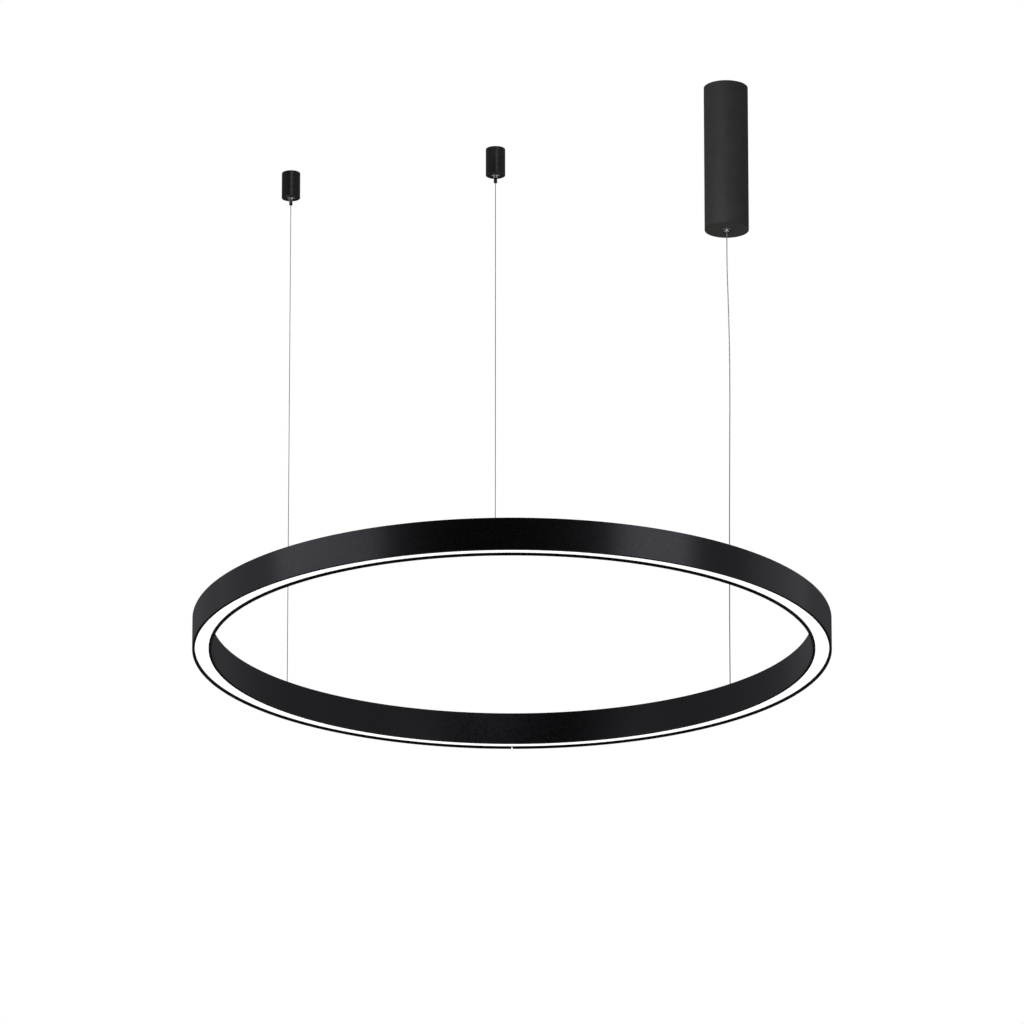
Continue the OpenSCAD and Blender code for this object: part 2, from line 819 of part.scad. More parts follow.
// The driver's case, with a thicker cap at each end and a screw tab beyond each cap
module led_driver() {
    step = driver_cap_step;
    color(case_white)
        difference() {
            union() {
                translate([0, strap_y - driver_depth / 2, driver_bottom]) {
                    linear_extrude(driver_l)
                        translate([0, step / 2]) driver_outline(driver_w - 2 * step, driver_depth - step);
                    for (z = [0, driver_l - driver_cap_l])
                        translate([0, 0, z])
                            linear_extrude(driver_cap_l) driver_outline(driver_w, driver_depth);
                }
                translate([-tab_l, strap_y - tab_t, driver_bottom - tab_l])
                    cube([2 * tab_l, tab_t, driver_l + 2 * tab_l]);
            }
            at_driver_screws() hole(screw_d + slide_gap, 0, tab_t);
            for (s = [-1, 1])
                translate([s * lead_x, 0, driver_z - lead_hole_t])
                    cylinder(d = 2 * lead_d, h = lead_hole_t + past);
        }
}

module driver_screws() {
    color(zinc)
        at_driver_screws() {
            translate([0, 0, -strap_t]) cylinder(d = screw_d - run_gap, h = strap_t + tab_t, $fn = 24);
            translate([0, 0, tab_t]) pan_head(screw_head_d, screw_head_h);
        }
}

// Each pole has a wire hole through it and two screws in its front, and a groove parts it from the next
module terminal_block() {
    color(case_white)
        difference() {
            translate([-block_w / 2, block_y, block_z - block_h]) cube([block_w, block_d, block_h]);
            for (i = [-1, 0, 1]) {
                translate([i * pole_pitch, block_y + block_d / 2, 0])
                    hole(pole_hole_d, block_z - block_h, block_z);
                for (z = pole_rows)
                    translate([i * pole_pitch, block_y - past, z])
                        rotate([-90, 0, 0]) cylinder(d = pole_screw_d, h = block_d / 2 + past);
            }
            for (i = [-1, 1])
                translate([i * pole_pitch / 2 - groove_w / 2, block_y - past, block_z - block_h - past])
                    cube([groove_w, groove_t + past, block_h + 2 * past]);
        }
}

module terminal_screws() {
    slot_w = 0.7;
    slot_t = 0.8;
    color(brass)
        for (i = [-1, 0, 1], z = pole_rows)
            translate([i * pole_pitch, block_y + pole_screw_in, z])
                rotate([-90, 0, 0])
                    difference() {
                        cylinder(d = pole_screw_d - 2 * run_gap, h = pole_screw_l);
                        translate([-pole_screw_d / 2, -slot_w / 2, -past])
                            cube([pole_screw_d, slot_w, slot_t + past]);
                    }
}

// The two mains leads, from the terminal block's lower holes into the driver's top
module mains_leads() {
    start_y = block_y + block_d / 2;
    start_z = block_z - block_h;
    deep = -mains_route[len(mains_route) - 1][2];
    for (s = [-1, 1])
        color(s > 0 ? live_brown : neutral_blue)
            swept_tube([
                for (p = mains_route)
                    let (t = max(0, -p[2]) / deep)
                    [
                        s * (pole_pitch * (1 - t) + lead_x * t), start_y * (1 - t) + p[1],
                        p[2] > 0 ? start_z + p[2] : start_z - t * (lead_space + lead_in)
                    ]
            ], lead_d, 8, [0.3, 1, 0.1]);
}

// The cable's tail, from the gripper's top into the driver's underside
module output_lead() {
    low = canopy_barrel_top + wire_end_above;
    scale_z = (driver_bottom - low) / output_route[len(output_route) - 1][2];
    color(lead_grey)
        swept_tube([for (p = output_route) [p[0], p[1], low + p[2] * scale_z]], cable_d, 8, [0, 1, 0]);
}

// Places children at each set screw, with +Z pointing out
module at_set_screws() {
    for (a = [0, 180])
        rotate(a) translate([0, 0, set_screw_z]) rotate([0, 90, 0]) children();
}

module canopy_tube() {
    boss_d = set_screw_d * 2.2;
    boss_in = skirt_r + slide_gap;
    color(charcoal)
        difference() {
            union() {
                difference() {
                    translate([0, 0, -canopy_h])
                        cylinder(d = canopy_d, h = canopy_h - ceiling_gap, $fn = 96);
                    hole(2 * tube_r, -canopy_h, -ceiling_gap, $fn = 96);
                }
                at_set_screws()
                    translate([0, 0, boss_in])
                        cylinder(d = boss_d, h = tube_r + tube_wall / 2 - boss_in);
            }
            at_set_screws() hole(set_screw_d, boss_in, canopy_d / 2);
        }
}

module canopy_set_screws() {
    tip = skirt_r + 0.1;
    head = canopy_d / 2 - 0.4;
    color(zinc)
        at_set_screws()
            difference() {
                translate([0, 0, tip]) cylinder(d = set_screw_d - run_gap, h = head - tip);
                translate([0, 0, head - set_hex_t]) cylinder(d = set_hex_d, h = set_hex_t + past, $fn = 6);
            }
}

module canopy_end_cap() {
    color(charcoal)
        translate([0, 0, -canopy_h])
            difference() {
                cylinder(r = tube_r - run_gap / 2, h = cap_t, $fn = 96);
                hole(bush_d, 0, cap_t);
            }
}

// The bright bush in the end cap, which slides down the gripper's barrel with the cover
module canopy_bush() {
    color(nickel)
        translate([0, 0, -canopy_h])
            difference() {
                union() {
                    translate([0, 0, -bush_lip_t]) cylinder(d = bush_d + 2 * bush_rim, h = bush_lip_t);
                    cylinder(d = bush_d - run_gap, h = cap_t);
                    translate([0, 0, cap_t]) cylinder(d = bush_d + 2 * bush_rim, h = bush_rim);
                }
                hole(bush_bore, -bush_lip_t, cap_t + bush_rim);
            }
}

canopy_ceiling_plate();
canopy_bracket();
canopy_bracket_screws();
earth_screw();
led_driver();
driver_screws();
terminal_block();
terminal_screws();
mains_leads();
output_lead();
at_canopy_gripper() gripper_body(canopy_barrel_l, seat_up, barrel_d, cable_flange_t);  // canopy_gripper_body
at_canopy_gripper() gripper_nut(seat_up + strap_t);  // canopy_gripper_nut
at_canopy_gripper() gripper_cap(canopy_barrel_l, cable_d);  // canopy_gripper_cap
at_canopy_gripper() gripper_spring(canopy_barrel_l, cable_d);  // canopy_gripper_spring
canopy_tube();
canopy_end_cap();
canopy_bush();
canopy_set_screws();
at_canopy_gripper() plunger(cable_d, false);  // canopy_plunger
at_canopy_gripper() gripper_balls(cable_d);  // canopy_gripper_balls
ring_housing(1);  // ring_housing_left
ring_housing(0);  // ring_housing_right
top_cover(1);  // top_cover_left
top_cover(0);  // top_cover_right
led_board(1);  // led_board_left
led_board(0);  // led_board_right
led_chips(1);  // led_chips_left
led_chips(0);  // led_chips_right
diffuser(1);  // diffuser_left
diffuser(0);  // diffuser_right
splice_plates();
splice_screws();
hanger_studs();
hanger_nuts();
wire_ferrules();
ring_connector();
ring_leads();
web_grommet();
power_cable();
wire(front_angle, front_drop);  // front_wire
wire(left_angle, left_drop);  // left_wire
at_cup(front_angle, front_drop) cup();  // front_cup
at_cup_gripper(front_angle, front_drop) gripper_body(barrel_l, neck_l, neck_d, flange_t);  // front_gripper_body
at_cup_gripper(front_angle, front_drop) gripper_nut(neck_l + cup_floor);  // front_gripper_nut
at_cup_gripper(front_angle, front_drop) gripper_cap(barrel_l, wire_d);  // front_gripper_cap
at_cup_gripper(front_angle, front_drop) gripper_spring(barrel_l, wire_d);  // front_gripper_spring
at_cup(front_angle, front_drop) base();  // front_base
at_cup_gripper(front_angle, front_drop) plunger(wire_d, true);  // front_plunger
at_cup_gripper(front_angle, front_drop) gripper_balls(wire_d);  // front_gripper_balls
at_cup(left_angle, left_drop) cup();  // left_cup
at_cup_gripper(left_angle, left_drop) gripper_body(barrel_l, neck_l, neck_d, flange_t);  // left_gripper_body
at_cup_gripper(left_angle, left_drop) gripper_nut(neck_l + cup_floor);  // left_gripper_nut
at_cup_gripper(left_angle, left_drop) gripper_cap(barrel_l, wire_d);  // left_gripper_cap
at_cup_gripper(left_angle, left_drop) gripper_spring(barrel_l, wire_d);  // left_gripper_spring
at_cup(left_angle, left_drop) base();  // left_base
at_cup_gripper(left_angle, left_drop) plunger(wire_d, true);  // left_plunger
at_cup_gripper(left_angle, left_drop) gripper_balls(wire_d);  // left_gripper_balls
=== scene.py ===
"""Looks of the ring pendant ceiling light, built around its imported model."""

import json
import math

import bmesh
import bpy
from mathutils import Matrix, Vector


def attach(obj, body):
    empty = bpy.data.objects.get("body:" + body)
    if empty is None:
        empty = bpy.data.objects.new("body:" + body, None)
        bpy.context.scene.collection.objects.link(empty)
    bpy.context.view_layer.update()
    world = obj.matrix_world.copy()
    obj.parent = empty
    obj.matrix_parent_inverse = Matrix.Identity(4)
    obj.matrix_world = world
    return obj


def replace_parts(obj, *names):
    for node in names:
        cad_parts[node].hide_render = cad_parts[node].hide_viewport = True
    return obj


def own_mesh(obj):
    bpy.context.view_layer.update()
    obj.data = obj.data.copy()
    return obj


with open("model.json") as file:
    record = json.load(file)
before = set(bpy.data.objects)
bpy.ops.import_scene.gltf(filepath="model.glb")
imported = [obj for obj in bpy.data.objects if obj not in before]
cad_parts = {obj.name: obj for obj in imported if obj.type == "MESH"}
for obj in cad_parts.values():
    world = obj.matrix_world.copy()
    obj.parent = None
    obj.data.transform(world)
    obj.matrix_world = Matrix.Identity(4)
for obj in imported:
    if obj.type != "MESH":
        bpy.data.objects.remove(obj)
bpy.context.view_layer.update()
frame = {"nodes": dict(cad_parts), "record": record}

scene = bpy.context.scene
nodes = frame["nodes"]

# The sizes below are those of the CAD model, in millimetres; points and paths in metres say so.
MM = 0.001
SLIDE_GAP = 0.3
RUN_GAP = 0.08

RING_D, PROFILE_W, PROFILE_H = 1000.0, 30.0, 51.0
WALL, WEB_T, LIP_W, LIP_T, LEDGE_T = 1.8, 1.6, 4.2, 3.6, 1.2
RIB_W, RIB_T, CHANNEL_H, COVER_T, DIFFUSER_T = 3.2, 1.8, 14.0, 2.5, 2.0
NOTCH_W = 3.0
CANOPY_DROP, FRONT_DROP, LEFT_DROP = 1028.0, 605.0, 875.0
FRONT_ANGLE, LEFT_ANGLE, CABLE_ANGLE = -93.0, 137.7, 44.1
WIRE_D, CABLE_D = 1.2, 1.6
STUD_D, STUD_HEAD_D, STUD_HEAD_H, STUD_END, NUT_T = 8.0, 14.0, 2.6, 2.5, 6.0
CUP_D, CUP_H, CUP_WALL, CUP_FLOOR, BASE_H, BASE_HOLE_D = 30.0, 44.0, 2.5, 4.0, 7.0, 4.5
CANOPY_D, CANOPY_H, TUBE_WALL, CAP_T = 72.0, 248.0, 2.0, 4.0
BARREL_D, BARREL_L, NECK_L, FLANGE_D, FLANGE_T = 10.0, 24.0, 4.2, 14.0, 1.5
BARREL_WALL, GUIDE_L, CONE_L, GRIPPER_CAP_T = 1.6, 7.0, 9.0, 3.0
STEM_D, BALL_D, BUTTON_D, BUTTON_L, TRAVEL = 4.8, 2.2, 5.4, 5.5, 2.0
STEM_OVER_BALLS, STEM_UNDER_BARREL = 2.5, 3.5
SPRING_WIRE, SPRING_TURNS, SPRING_GAP = 0.7, 6, 0.1
CANOPY_BARREL_L, CANOPY_SEAT, CANOPY_HEAD_T = 26.5, 19.0, 3.0
THREAD_DEPTH, THREAD_PITCH = 0.5, 1.5
BOARD_W, SPLICE_L, SPLICE_EDGE, SPLICE_HOLE_R = 12.0, 68.0, 6.0, 1.5
GROMMET_ANGLES, GROMMET_HOLE_R = (CABLE_ANGLE - 6, 102), 1.8
FERRULE_D = STUD_D - 3.6
SKIRT_INSET, SET_SCREW_Z, SET_BOSS_R, SET_HOLE_R = 3.0, -7.0, 4.4, 2.0
BUSH_WALL, BUSH_RIM, BUSH_LIP, BUSH_COLLAR = 1.5, 1.0, 0.6, 1.0
WIRE_PAST_BARREL = 4.0
CEILING_GAP = 0.5

# How far each feed can run, in metres.
FRONT_FEED, LEFT_FEED, RING_FEED = 0.105, 0.375, 0.528

HALF_W = PROFILE_W / 2
HANG_R = RING_D / 2 - HALF_W
RIB_TOP = PROFILE_H - COVER_T
RIB_BOTTOM = RIB_TOP - RIB_T
WEB_TOP = RIB_BOTTOM - CHANNEL_H
WEB_BOTTOM = WEB_TOP - WEB_T
GROOVE_TOP = LIP_T + DIFFUSER_T + SLIDE_GAP / 2
INSIDE_W = PROFILE_W - 2 * WALL
STUD_BOTTOM = RIB_BOTTOM - NUT_T - STUD_END
STUD_TOP = PROFILE_H + STUD_HEAD_H


def polar(angle, radius):
    """The x and y of a point at an angle in degrees and a radius."""
    return radius * math.cos(math.radians(angle)), radius * math.sin(math.radians(angle))


cable_x, cable_y = polar(CABLE_ANGLE, HANG_R)
RING = (-cable_x, -cable_y, -CANOPY_DROP - PROFILE_H)


def hanger(angle, up=0.0):
    """The point on the profile's centre line at an angle, up from the ring's bottom plane."""
    x, y = polar(angle, HANG_R)
    return RING[0] + x, RING[1] + y, RING[2] + up


FRONT = hanger(FRONT_ANGLE, PROFILE_H + FRONT_DROP)
LEFT = hanger(LEFT_ANGLE, PROFILE_H + LEFT_DROP)

# The camera stands 15 m away, so that the wires look as upright as in the photograph.
CAMERA_PLACE = (-0.34829, -15.33752, -6.0055)
CAMERA_RISE = 18.977

camera_data = bpy.data.cameras.new("camera")
camera_data.lens = 355.0
camera_data.clip_end = 400.0
camera = bpy.data.objects.new("camera", camera_data)
camera.location = CAMERA_PLACE
camera.rotation_euler = (math.radians(90 + CAMERA_RISE), 0, 0)
scene.collection.objects.link(camera)
scene.camera = camera

# Edges sharper than this many degrees stay crisp.
SMOOTH_UP_TO = 35.0


def new_mesh(name, points, faces, sharp=SMOOTH_UP_TO):
    """An object made of points in metres, with smooth shading up to an angle in degrees."""
    mesh = bpy.data.meshes.new(name)
    mesh.from_pydata(points, [], faces)
    shape = bmesh.new()
    shape.from_mesh(mesh)
    bmesh.ops.recalc_face_normals(shape, faces=shape.faces)
    shape.to_mesh(mesh)
    shape.free()
    piece = bpy.data.objects.new(name, mesh)
    scene.collection.objects.link(piece)
    smooth(piece, sharp)
    return piece


def smooth(piece, sharp=SMOOTH_UP_TO):
    """Smooth shading, except on edges sharper than an angle in degrees."""
    piece.data.shade_smooth()
    piece.data.set_sharp_from_angle(angle=math.radians(sharp))


def eased(corners, steps=4, flat=0.3):
    """A section whose corners, as (x, z, radius), are rounded. flat is the length of the extra edge on
    each side of a round, for each millimetre of its radius; it keeps the shading flat beside it."""
    points = []
    count = len(corners)
    for i, (x, z, r) in enumerate(corners):
        here = Vector((x, z))
        if not r:
            points.append((x, z))
            continue
        before = (Vector(corners[i - 1][:2]) - here).normalized()
        after = (Vector(corners[(i + 1) % count][:2]) - here).normalized()
        reach = r / math.tan(before.angle(after) / 2)
        start, end = here + before * reach, here + after * reach
        points.append(tuple(start + before * flat * r))
        for k in range(steps + 1):
            t = k / steps
            points.append(tuple((1 - t) ** 2 * start + 2 * t * (1 - t) * here + t * t * end))
        points.append(tuple(end + after * flat * r))
    return points


def turned(section, centre, sides, start=0.0, sweep=360.0):
    """Points and faces of a closed section of (radius, height), turned about an upright axis."""
    whole = sweep >= 360
    rings = sides if whole else sides + 1
    count = len(section)
    points = []
    for i in range(rings):
        x, y = polar(start + sweep * i / sides, 1.0)
        points += [
            ((centre[0] + r * x) * MM, (centre[1] + r * y) * MM, (centre[2] + z) * MM) for r, z in section
        ]
    faces = [
        (i * count + k, (i + 1) % rings * count + k, (i + 1) % rings * count + (k + 1) % count,
         i * count + (k + 1) % count)
        for i in range(sides) for k in range(count)
    ]
    if not whole:
        faces += [tuple(range(count)), tuple(range((rings - 1) * count, rings * count))]
    return points, faces


def joined(*parts):
    """Several parts of points and faces as one."""
    points, faces = [], []
    for more, skin in parts:
        faces += [tuple(k + len(points) for k in f) for f in skin]
        points += more
    return points, faces


def peg(centre, radius, low, high, sides=32):
    """An upright cylinder at a centre, between two heights above it."""
    rim = [polar(360 * k / sides, radius) for k in range(sides)]
    points = [
        ((centre[0] + x) * MM, (centre[1] + y) * MM, (centre[2] + z) * MM)
        for z in (low, high) for x, y in rim
    ]
    faces = [(k, (k + 1) % sides, sides + (k + 1) % sides, sides + k) for k in range(sides)]
    return points, faces + [tuple(range(sides)), tuple(range(sides, 2 * sides))]


def cut(piece, *parts, mode="DIFFERENCE"):
    """Cuts the parts out of a piece in one step, or adds them to it. The parts mustn't meet."""
    tool = new_mesh("cutter", *joined(*parts))
    modifier = piece.modifiers.new("cut", "BOOLEAN")
    modifier.operation = mode
    modifier.object = tool
    modifier.solver = "EXACT"
    bpy.context.view_layer.objects.active = piece
    bpy.ops.object.modifier_apply(modifier=modifier.name)
    bpy.data.objects.remove(tool)
    smooth(piece)
    return piece


def lying(parts, centre, angle):
    """Turns upright parts about a centre so that their +Z points along a level direction."""
    points, faces = parts
    c, s = polar(angle, 1.0)
    moved = []
    for p in points:
        x, y, z = (p[i] / MM - centre[i] for i in range(3))
        moved.append(
            ((centre[0] + z * c - y * s) * MM, (centre[1] + z * s + y * c) * MM, (centre[2] - x) * MM)
        )
    return moved, faces


# The power cable's middle line from its gripper down to the ring, as (x, z) in metres.
CABLE_ROUTE = [
    (0, -0.2175), (0, -0.248), (0, -0.270), (0, -0.295), (0.0002, -0.320), (0.0008, -0.345),
    (0.0015, -0.372), (0.0022, -0.405), (0.0028, -0.440), (0.0031, -0.475), (0.0031, -0.510),
    (0.0029, -0.550), (0.0025, -0.590), (0.0021, -0.630), (0.0016, -0.680), (0.0011, -0.730),
    (0.0007, -0.780), (0.0004, -0.830), (0.0002, -0.880), (0, -0.930), (0, -0.980), (0, -1.0408),
]


def smooth_path(route, step):
    """Points along a smooth curve through a route, about a step apart."""
    points = [Vector((x, 0, z)) for x, z in route]
    path = []
    for i in range(len(points) - 1):
        a, b, c, d = (points[max(0, min(len(points) - 1, i + k))] for k in (-1, 0, 1, 2))
        count = max(1, round((c - b).length / step))
        for k in range(count):
            t = k / count
            path.append(
                0.5 * (2 * b + (c - a) * t + (2 * a - 5 * b + 4 * c - d) * t * t
                       + (3 * b - 3 * c + d - a) * t ** 3)
            )
    return path + [points[-1]]


def straight_path(low, high, step):
    """Points on a straight line, about a step apart."""
    count = round((high - low).length / step)
    return [low.lerp(high, k / count) for k in range(count + 1)]


def swept(path, outline, turn=0.0):
    """Points and faces of an outline of (angle, radius) in metres, swept along a near-upright path.

    turn is the twist in degrees for each metre."""
    count = len(outline)
    points = []
    gone = 0.0
    for i, here in enumerate(path):
        along = (path[min(i + 1, len(path) - 1)] - path[max(i - 1, 0)]).normalized()
        side = along.cross(Vector((0, 1, 0))).normalized()
        across = side.cross(along)
        if i:
            gone += (here - path[i - 1]).length
        for angle, radius in outline:
            c, s = polar(angle + turn * gone, radius)
            points.append(tuple(here + side * c + across * s))
    faces = [
        (i * count + k, i * count + (k + 1) % count, (i + 1) * count + (k + 1) % count, (i + 1) * count + k)
        for i in range(len(path) - 1) for k in range(count)
    ]
    last = (len(path) - 1) * count
    return points, faces + [tuple(range(count)), tuple(range(last, last + count))]


# The rope's strands take one turn in each lay, with hollows between them. Lengths are in metres.
ROPE_LAY, ROPE_STEP = 0.012, 0.00075
ROPE_STRANDS, ROPE_HOLLOW = 12, 0.93
CABLE_STEP, CABLE_SIDES = 0.004, 16
rope_outline = [
    (180 * k / ROPE_STRANDS, WIRE_D / 2 * MM * (1.0 if k % 2 else ROPE_HOLLOW))
    for k in range(2 * ROPE_STRANDS)
]
cable_outline = [(360 * k / CABLE_SIDES, CABLE_D / 2 * MM) for k in range(CABLE_SIDES)]
cup_wire_top = -CUP_H - NECK_L + BARREL_L + WIRE_PAST_BARREL


def metres(point, up=0.0):
    """A point in metres from one in millimetres, raised by some millimetres."""
    return Vector((point[0] * MM, point[1] * MM, (point[2] + up) * MM))


def cord(name, node, path, outline, turn):
    """A wire or cable from its ferrule in the ring up into its gripper."""
    piece = new_mesh(name, *swept(path, outline, turn), sharp=60.0)
    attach(piece, "ring")
    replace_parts(piece, node)
    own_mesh(piece)
    return piece


wires = {}
for side, place, joint_travel in (("front", FRONT, FRONT_FEED), ("left", LEFT, LEFT_FEED)):
    low_end = metres((place[0], place[1], RING[2] + STUD_BOTTOM))
    path = straight_path(low_end, metres(place, cup_wire_top), ROPE_STEP)
    wires[side] = cord(
        side + "_rope", side + "_wire", path, rope_outline, 360 / ROPE_LAY,
    )
cable = cord(
    "braided_cable", "power_cable", smooth_path(CABLE_ROUTE, CABLE_STEP)[::-1], cable_outline, 0.0,
)


class Finish:
    """A Principled material with nodes that vary its colour, roughness and relief over the surface."""

    def __init__(self, name, **sockets):
        self.material = bpy.data.materials.new(name)
        self.material.use_nodes = True
        self.tree = self.material.node_tree
        self.shader = self.tree.nodes["Principled BSDF"]
        for key, value in sockets.items():
            self.shader.inputs[key.replace("_", " ")].default_value = value
        self.place = self.tree.nodes.new("ShaderNodeTexCoord").outputs["Object"]

    def link(self, a, b):
        """Joins an output to an input."""
        self.tree.links.new(a, b)

    def node(self, kind, **values):
        """A new node, with its inputs or settings."""
        made = self.tree.nodes.new("ShaderNode" + kind)
        for key, value in values.items():
            if key in made.inputs:
                made.inputs[key].default_value = value
            else:
                setattr(made, key, value)
        return made

    def noise(self, scale, detail, roughness=0.5):
        """Cloudy noise, with scale as its number of spots in a metre."""
        made = self.node("TexNoise", Scale=scale, Detail=detail, Roughness=roughness)
        self.link(self.place, made.inputs["Vector"])
        return made.outputs["Fac"]

    def cells(self, scale):
        """The distance to the middle of a cell, with scale as the number of cells in a metre."""
        made = self.node("TexVoronoi", Scale=scale)
        self.link(self.place, made.inputs["Vector"])
        return made.outputs["Distance"]

    def wave(self, scale, axis, distortion):
        """Bands across an axis."""
        made = self.node("TexWave", bands_direction=axis, Scale=scale, Distortion=distortion)
        self.link(self.place, made.inputs["Vector"])
        return made.outputs["Fac"]

    def colour(self, value, dark, light, low=0.3, high=0.7):
        """Colours the surface from dark to light as value goes from low to high."""
        ramp = self.node("ValToRGB")
        first, last = ramp.color_ramp.elements
        first.position, first.color = low, (*dark, 1)
        last.position, last.color = high, (*light, 1)
        self.link(value, ramp.inputs["Fac"])
        self.link(ramp.outputs["Color"], self.shader.inputs["Base Color"])

    def spread(self, value, low, high):
        """Drives the roughness from low to high as value crosses its middle part."""
        span = self.node("MapRange", **{"From Min": 0.3, "From Max": 0.7, "To Min": low, "To Max": high})
        self.link(value, span.inputs["Value"])
        self.link(span.outputs["Result"], self.shader.inputs["Roughness"])

    def relief(self, value, height, strength):
        """Adds fine relief, with its height in metres."""
        bump = self.node("Bump", Strength=strength, Distance=height)
        self.link(value, bump.inputs["Height"])
        if self.shader.inputs["Normal"].is_linked:
            self.link(self.shader.inputs["Normal"].links[0].from_socket, bump.inputs["Normal"])
        self.link(bump.outputs["Normal"], self.shader.inputs["Normal"])


def powder_coat(name, dark, light, rough, orange_peel, grit, shine=0.5):
    """A baked powder coat: faint orange peel a few millimetres across, and fine grit."""
    finish = Finish(name, IOR=1.5, Specular_IOR_Level=shine)
    finish.colour(finish.noise(38, 4), dark, light)
    finish.spread(finish.noise(160, 3), rough - 0.03, rough + 0.03)
    finish.relief(finish.noise(420, 2), orange_peel, 0.25)
    finish.relief(finish.noise(2600, 2), grit, 0.25)
    return finish.material


def metal(name, dark, light, rough, grain, scale):
    """A bare or plated metal with a fine grain."""
    finish = Finish(name, Metallic=1.0)
    finish.colour(finish.noise(scale, 4, 0.6), dark, light)
    finish.spread(finish.noise(scale * 2.3, 3, 0.6), rough * 0.75, rough * 1.3)
    finish.relief(finish.noise(scale * 4, 2, 0.6), grain, 0.4)
    return finish.material


def moulded(name, dark, light, rough, grain, scale=900):
    """A moulded plastic with a fine spark-eroded grain."""
    finish = Finish(name, IOR=1.46)
    finish.colour(finish.noise(24, 3), dark, light)
    finish.spread(finish.noise(scale * 0.4, 3), rough - 0.05, rough + 0.05)
    finish.relief(finish.noise(scale, 2), grain, 0.4)
    return finish.material


def opal():
    """Opal acrylic lit from behind, with a faint unevenness."""
    finish = Finish("opal_lit", Roughness=0.35, IOR=1.49)
    finish.shader.inputs["Emission Strength"].default_value = 0.80
    glow = finish.noise(30, 2)
    finish.colour(glow, (0.86, 0.86, 0.85), (0.93, 0.93, 0.92))
    ramp = finish.node("ValToRGB")
    first, last = ramp.color_ramp.elements
    first.position, first.color = 0.3, (0.96, 0.97, 0.98, 1)
    last.position, last.color = 0.7, (1, 1, 1, 1)
    finish.link(glow, ramp.inputs["Fac"])
    finish.link(ramp.outputs["Color"], finish.shader.inputs["Emission Color"])
    finish.relief(finish.noise(1800, 2), 0.00002, 0.3)
    return finish.material


def rope_steel():
    """Galvanised wire rope, a little uneven in its shine."""
    finish = Finish("rope_steel", Metallic=1.0)
    finish.colour(finish.noise(700, 3), (0.30, 0.30, 0.31), (0.47, 0.47, 0.48))
    finish.spread(finish.noise(900, 2), 0.26, 0.42)
    finish.relief(finish.noise(1600, 2), 0.00002, 0.3)
    return finish.material


def braid():
    """Tinned braid under a clear sheath."""
    finish = Finish("braid_sheath", Metallic=0.85, Coat_Weight=0.4, Coat_Roughness=0.15)
    strands = finish.wave(1400, "DIAGONAL", 1.5)
    finish.colour(strands, (0.32, 0.32, 0.33), (0.48, 0.48, 0.49), 0.2, 0.8)
    finish.spread(finish.noise(1200, 2), 0.35, 0.5)
    finish.relief(strands, 0.00002, 0.2)
    return finish.material


def mains_pair():
    """The two mains leads, blue on the left of the middle and brown on the right."""
    finish = Finish("mains_sheath", Roughness=0.38, IOR=1.46)
    split = finish.node("SeparateXYZ")
    finish.link(finish.place, split.inputs["Vector"])
    side = finish.node("MapRange", **{"From Min": -0.0005, "From Max": 0.0005})
    finish.link(split.outputs["X"], side.inputs["Value"])
    finish.colour(side.outputs["Result"], (0.02, 0.09, 0.36), (0.15, 0.055, 0.022))
    finish.relief(finish.noise(900, 2), 0.00002, 0.3)
    return finish.material


def phosphor():
    """The emitters' yellow phosphor in a white frame."""
    finish = Finish("phosphor", Roughness=0.25, IOR=1.5)
    finish.colour(finish.cells(260), (0.93, 0.92, 0.88), (0.92, 0.66, 0.16), 0.25, 0.5)
    finish.relief(finish.noise(1500, 2), 0.00003, 0.4)
    return finish.material


# The ring's walls are glossy. Its lips and ledges, which face the lit diffuser, take a matt copy of the
# black coat that is darker and hardly reflects: painted shade that keeps them dark.
finishes = {
    "black_coat": powder_coat(
        "black_coat", (0.0014, 0.0014, 0.0017), (0.0022, 0.0022, 0.0026), 0.27, 0.00001, 0.000003
    ),
    # Painted shade: a darker copy of the black coat with almost no reflection, for the ring's lips and
    # ledges.
    "lip_shade_coat": powder_coat(
        "lip_shade_coat", (0.0010, 0.0010, 0.0011), (0.0016, 0.0016, 0.0018), 0.75, 0.00002, 0.00001, 0.04
    ),
    "cup_coat": powder_coat(
        "cup_coat", (0.016, 0.016, 0.014), (0.020, 0.020, 0.018), 0.34, 0.00004, 0.00002, 0.22
    ),
    "charcoal_coat": powder_coat(
        "charcoal_coat", (0.034, 0.034, 0.031), (0.041, 0.041, 0.037), 0.60, 0.00004, 0.00004, 0.2
    ),
    "opal_diffuser": opal(),
    "wire_rope": rope_steel(),
    "cable_sheath": braid(),
    "nickel": metal("nickel", (0.70, 0.69, 0.67), (0.80, 0.79, 0.77), 0.16, 0.00001, 90),
    "zinc_steel": metal("zinc_steel", (0.50, 0.52, 0.56), (0.66, 0.67, 0.70), 0.34, 0.00002, 140),
    "spring_steel": metal("spring_steel", (0.46, 0.46, 0.47), (0.62, 0.62, 0.63), 0.24, 0.00001, 260),
    "brass": metal("brass", (0.62, 0.44, 0.17), (0.76, 0.58, 0.27), 0.22, 0.00001, 200),
    "case_plastic": moulded("case_plastic", (0.74, 0.74, 0.71), (0.80, 0.80, 0.78), 0.45, 0.00004),
    "board_white": moulded("board_white", (0.80, 0.81, 0.79), (0.87, 0.88, 0.86), 0.30, 0.00001, 1400),
    "led_phosphor": phosphor(),
    "lead_sheath": moulded("lead_sheath", (0.50, 0.50, 0.51), (0.58, 0.58, 0.59), 0.38, 0.00002),
    "mains_sheath": mains_pair(),
    "rubber": moulded("rubber", (0.014, 0.014, 0.014), (0.024, 0.024, 0.024), 0.7, 0.00005),
    "button_black": moulded(
        "button_black", (0.006, 0.006, 0.007), (0.010, 0.010, 0.011), 0.30, 0.00001, 1400
    ),
}


def dress(piece, slot, finish=None):
    """Gives a piece the material of the record's slot, or another finish where one is given."""
    piece.data.materials.clear()
    piece.data.materials.append(finishes[finish or slot])
    return piece


dress(wires["front"], "wire_rope")
dress(wires["left"], "wire_rope")
dress(cable, "cable_sheath")

